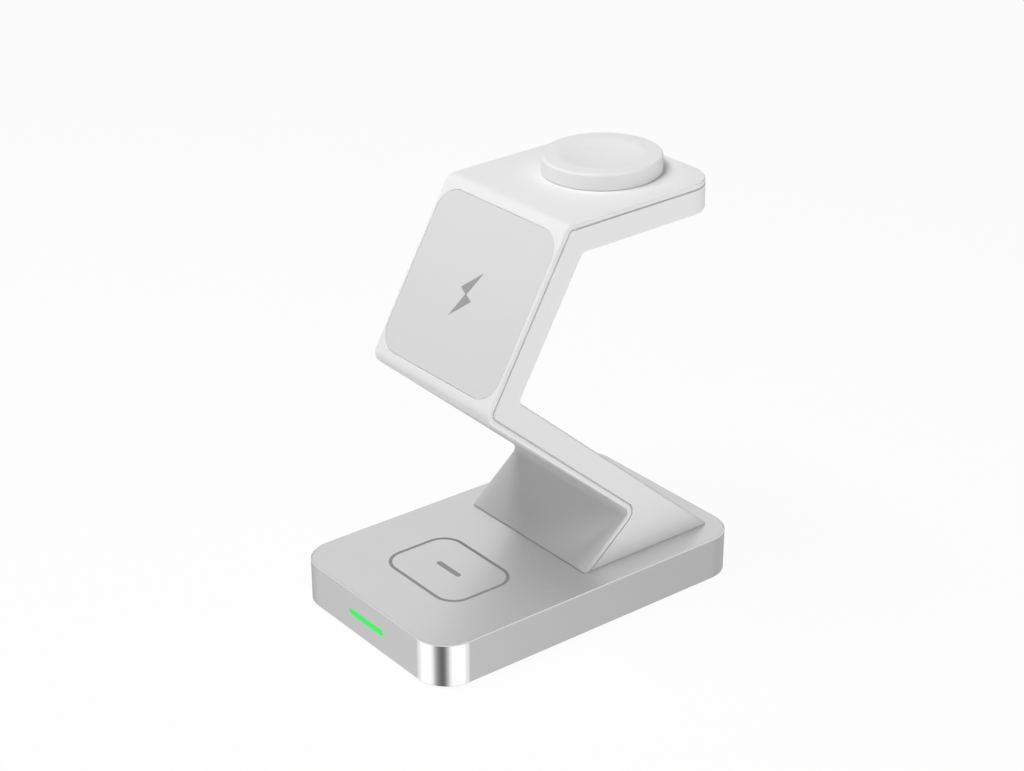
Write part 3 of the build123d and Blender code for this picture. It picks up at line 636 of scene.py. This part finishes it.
@dataclass(frozen=True)
class PhotoCamera:
    """Camera that was fitted to the photograph's straight edges.

    Attributes:
        azimuth: Degrees from the front towards the right.
        elevation: Degrees above the horizon.
        focal_px: Focal length in pixels of the image's width.
        aim: How far right and up of the origin the image's middle looks.
        distance: From the camera to the origin's plane.
        sensor_mm: Width of the camera's sensor.
        nearest: Nearest distance that is drawn.
    """

    azimuth: float = 51.735
    elevation: float = 25.514
    focal_px: float = 2162.83
    aim: tuple[float, float] = (-2.860, 68.306)
    distance: float = 753.325
    sensor_mm: float = 36.0
    nearest: float = 10.0

    def build(self) -> bpy.types.Object:
        """Makes the scene's camera.

        Returns:
            The camera object.
        """
        turn = math.radians(self.azimuth)
        right = Vector((math.cos(turn), math.sin(turn), 0.0))
        back = pointing(self.azimuth, self.elevation)
        up = back.cross(right)
        place = (right * self.aim[0] + up * self.aim[1] + back * self.distance) * MM
        data = bpy.data.cameras.new("photo_camera")
        data.sensor_width = self.sensor_mm
        data.sensor_fit = "HORIZONTAL"
        data.lens = self.focal_px / IMAGE_WIDTH * self.sensor_mm
        data.clip_start = self.nearest * MM
        made = bpy.data.objects.new("photo_camera", data)
        made.matrix_world = Matrix.Translation(place) @ Matrix((right, up, back)).transposed().to_4x4()
        bpy.context.scene.collection.objects.link(made)
        bpy.context.scene.camera = made
        return made


@dataclass(frozen=True)
class Softbox:
    """Square studio lamp that faces the charger.

    Attributes:
        name: Name of the lamp.
        azimuth: Degrees from the front towards the right.
        elevation: Degrees above the horizon.
        level: Share of a white card's brightness that the lamp gives, face on.
        size: Side of the lamp's face.
        distance: From the charger's middle.
    """

    name: str
    azimuth: float
    elevation: float
    level: float
    size: float
    distance: float = 900.0

    def build(self, middle: Vector) -> bpy.types.Object:
        """Makes the lamp.

        Args:
            middle: Point that the lamp faces, in metres.

        Returns:
            The lamp object.
        """
        away = pointing(self.azimuth, self.elevation)
        reach = self.distance * MM
        data = bpy.data.lights.new(self.name, "AREA")
        data.size = self.size * MM
        data.energy = self.level * (math.pi * reach) ** 2
        made = bpy.data.objects.new(self.name, data)
        made.location = middle + away * reach
        made.rotation_mode = "QUATERNION"
        made.rotation_quaternion = away.to_track_quat("Z", "Y")
        made.visible_glossy = False
        made.visible_camera = False
        bpy.context.scene.collection.objects.link(made)
        return made


@dataclass(frozen=True)
class Studio:
    """White studio: a floor that the camera sees as white, light thrown up from below, and lamps.

    Attributes:
        floor_half: Half of the floor's side.
        floor_drop: How far the floor lies under the mat, so that the two don't share a plane.
        floor_colour: Colour of the floor's paper.
        floor_white: Share of plain white in what the camera sees of the floor.
        room_light: Brightness of the room's even light from above.
        ceiling: Brightness of the ceiling that polished metal mirrors.
        horizon: Heights between which what is below the horizon fades into what is above it.
        lamps: Softboxes.
        bounce: Brightness of the light that the floor throws up, by azimuth.
        bands: Brightness of the cards and gaps that polished metal mirrors below the horizon, by
            azimuth.
    """

    floor_half: float = 4000.0
    floor_drop: float = 0.05
    floor_colour: str = "#FCFCFC"
    floor_white: float = 0.95
    room_light: float = 0.02
    ceiling: float = 0.75
    horizon: tuple[float, float] = (-0.08, 0.12)
    lamps: tuple[Softbox, ...] = (
        Softbox("front_lamp", 0.0, 70.0, 0.45, 300.0),
        Softbox("left_lamp", -45.0, 60.0, 0.24, 250.0),
        Softbox("right_lamp", 75.0, 50.0, 0.16, 400.0),
        Softbox("low_left_lamp", -45.0, 15.0, 0.06, 600.0),
        Softbox("low_right_lamp", 125.0, 13.0, 0.12, 600.0),
    )
    bounce: tuple[tuple[float, float], ...] = (
        (-180, 0.7), (-135, 0.8), (-80, 0.2), (-45, 0.5), (0, 1.5), (45, 1.7), (90, 1.3), (135, 1.7),
        (180, 0.7),
    )
    bands: tuple[tuple[float, float], ...] = (
        (-180, 0.47), (-125, 0.44), (-90, 0.50), (-60, 0.60), (-54, 0.64), (-46, 0.85), (-34, 1.15),
        (-2, 1.2), (7, 1.0), (15, 0.55), (24, 0.28), (36, 0.14), (45, 0.19), (54, 0.5), (62, 0.9),
        (70, 1.2), (107, 1.2), (116, 0.95), (123, 0.76), (127, 0.58), (134, 0.5), (150, 0.46),
        (180, 0.47),
    )

    def build(self) -> None:
        """Makes the floor, the world and the lamps."""
        self.build_floor()
        self.build_world()
        low, high = CAD_BOX
        for lamp in self.lamps:
            lamp.build((low + high) / 2)
            LOG.info("lit %s", lamp.name)

    def build_floor(self) -> bpy.types.Object:
        """Makes the floor, which the camera sees as white with the charger's soft shadow.

        Returns:
            The floor object. The charger is lit by the world in its place.
        """
        mesh = bpy.data.meshes.new("floor")
        shape = bmesh.new()
        drop = Matrix.Translation((0.0, 0.0, -self.floor_drop * MM))
        bmesh.ops.create_grid(
            shape, x_segments=1, y_segments=1, size=self.floor_half * MM, matrix=drop
        )
        shape.to_mesh(mesh)
        shape.free()
        made = bpy.data.objects.new("floor", mesh)
        made.visible_glossy = False
        made.visible_diffuse = False
        bpy.context.scene.collection.objects.link(made)
        paint = bpy.data.materials.new("paper_sweep_white")
        paint.use_nodes = True
        tree = paint.node_tree
        tree.nodes.clear()
        seen = add_node(tree, "ShaderNodeLightPath").outputs["Is Camera Ray"]
        share = add_node(tree, "ShaderNodeMath", {0: seen, 1: self.floor_white}, operation="MULTIPLY")
        paper = add_node(tree, "ShaderNodeBsdfDiffuse", {"Color": linear(self.floor_colour)})
        white = add_node(tree, "ShaderNodeEmission", {"Strength": 1.0})
        shown = add_node(
            tree, "ShaderNodeMixShader", {0: share.outputs[0], 1: paper.outputs[0], 2: white.outputs[0]}
        )
        under = add_node(tree, "ShaderNodeNewGeometry").outputs["Backfacing"]
        clear = add_node(tree, "ShaderNodeBsdfTransparent")
        both = add_node(tree, "ShaderNodeMixShader", {0: under, 1: shown.outputs[0], 2: clear.outputs[0]})
        add_node(tree, "ShaderNodeOutputMaterial", {"Surface": both.outputs[0]})
        mesh.materials.append(paint)
        return made

    def build_world(self) -> bpy.types.World:
        """Makes the world: white to the camera, soft light on the charger, cards in its mirrors.

        Returns:
            The scene's world.
        """
        world = bpy.data.worlds.new("white_studio")
        world.use_nodes = True
        tree = world.node_tree
        tree.nodes.clear()
        axes = add_node(
            tree, "ShaderNodeSeparateXYZ", {0: add_node(tree, "ShaderNodeTexCoord").outputs["Generated"]}
        )
        share = self.add_turn(tree, axes)
        soft, mirrored = (
            add_node(
                tree,
                "ShaderNodeBackground",
                {"Strength": self.add_ring(tree, share, ring, axes, above), "Color": WHITE},
            ).outputs[0]
            for ring, above in ((self.bounce, self.room_light), (self.bands, self.ceiling))
        )
        white = add_node(tree, "ShaderNodeBackground", {"Strength": 1.0, "Color": WHITE})
        path = add_node(tree, "ShaderNodeLightPath")
        lit = add_node(
            tree,
            "ShaderNodeMixShader",
            {0: path.outputs["Is Glossy Ray"], 1: soft, 2: mirrored},
        )
        shown = add_node(
            tree,
            "ShaderNodeMixShader",
            {0: path.outputs["Is Camera Ray"], 1: lit.outputs[0], 2: white.outputs[0]},
        )
        add_node(tree, "ShaderNodeOutputWorld", {"Surface": shown.outputs[0]})
        bpy.context.scene.world = world
        return world

    def add_turn(self, tree: bpy.types.NodeTree, axes: bpy.types.Node) -> bpy.types.NodeSocket:
        """Adds the azimuth as a share of the whole turn.

        Args:
            tree: Node tree of the world.
            axes: Node that gives the direction's axes.

        Returns:
            Share from 0 behind the charger's left to 1 behind its right.
        """
        ahead = add_node(tree, "ShaderNodeMath", {0: axes.outputs["Y"], 1: -1.0}, operation="MULTIPLY")
        turn = add_node(
            tree, "ShaderNodeMath", {0: axes.outputs["X"], 1: ahead.outputs[0]}, operation="ARCTAN2"
        )
        share = add_node(
            tree,
            "ShaderNodeMapRange",
            {"Value": turn.outputs[0], "From Min": -math.pi, "From Max": math.pi},
        )
        return share.outputs[0]

    def add_ring(
        self,
        tree: bpy.types.NodeTree,
        share: bpy.types.NodeSocket,
        ring: tuple[tuple[float, float], ...],
        axes: bpy.types.Node,
        above: float,
    ) -> bpy.types.NodeSocket:
        """Adds a ring of brightness below the horizon, and an even brightness above it.

        Args:
            tree: Node tree of the world.
            share: Azimuth as a share of the whole turn.
            ring: Azimuths in degrees, and the brightness at each.
            axes: Node that gives the direction's axes.
            above: Brightness above the horizon.

        Returns:
            Brightness in each direction.
        """
        ramp = add_node(tree, "ShaderNodeValToRGB", {"Fac": share})
        stops = ramp.color_ramp.elements
        stops.remove(stops[1])
        brightest = max(level for _, level in ring)
        for index, (azimuth, level) in enumerate(ring):
            spot = azimuth / 360 + 0.5
            stop = stops.new(spot) if index else stops[0]
            stop.position = spot
            stop.color = (*[level / brightest] * 3, 1.0)
        below = add_node(tree, "ShaderNodeMath", {0: ramp.outputs[0], 1: brightest}, operation="MULTIPLY")
        low, high = self.horizon
        rise = add_node(
            tree, "ShaderNodeMapRange", {"Value": axes.outputs["Z"], "From Min": low, "From Max": high}
        )
        mixed = add_node(tree, "ShaderNodeMix", {0: rise.outputs[0], 2: below.outputs[0], 3: above})
        return mixed.outputs[0]


def main() -> None:
    """Builds and dresses the charger, and sets the studio and the camera round it."""
    logging.basicConfig(level=logging.INFO, format="%(name)s: %(message)s")
    bpy.context.scene.view_settings.view_transform = "Standard"
    groups = (
        Base(), FrontLight(), EarbudSpot(), Stand(), PhoneCharger(), WatchCharger(), MainBoard(), Inlet()
    )
    for group in groups:
        group.build()
    Studio().build()
    PhotoCamera().build()


if __name__ == "__main__":
    main()
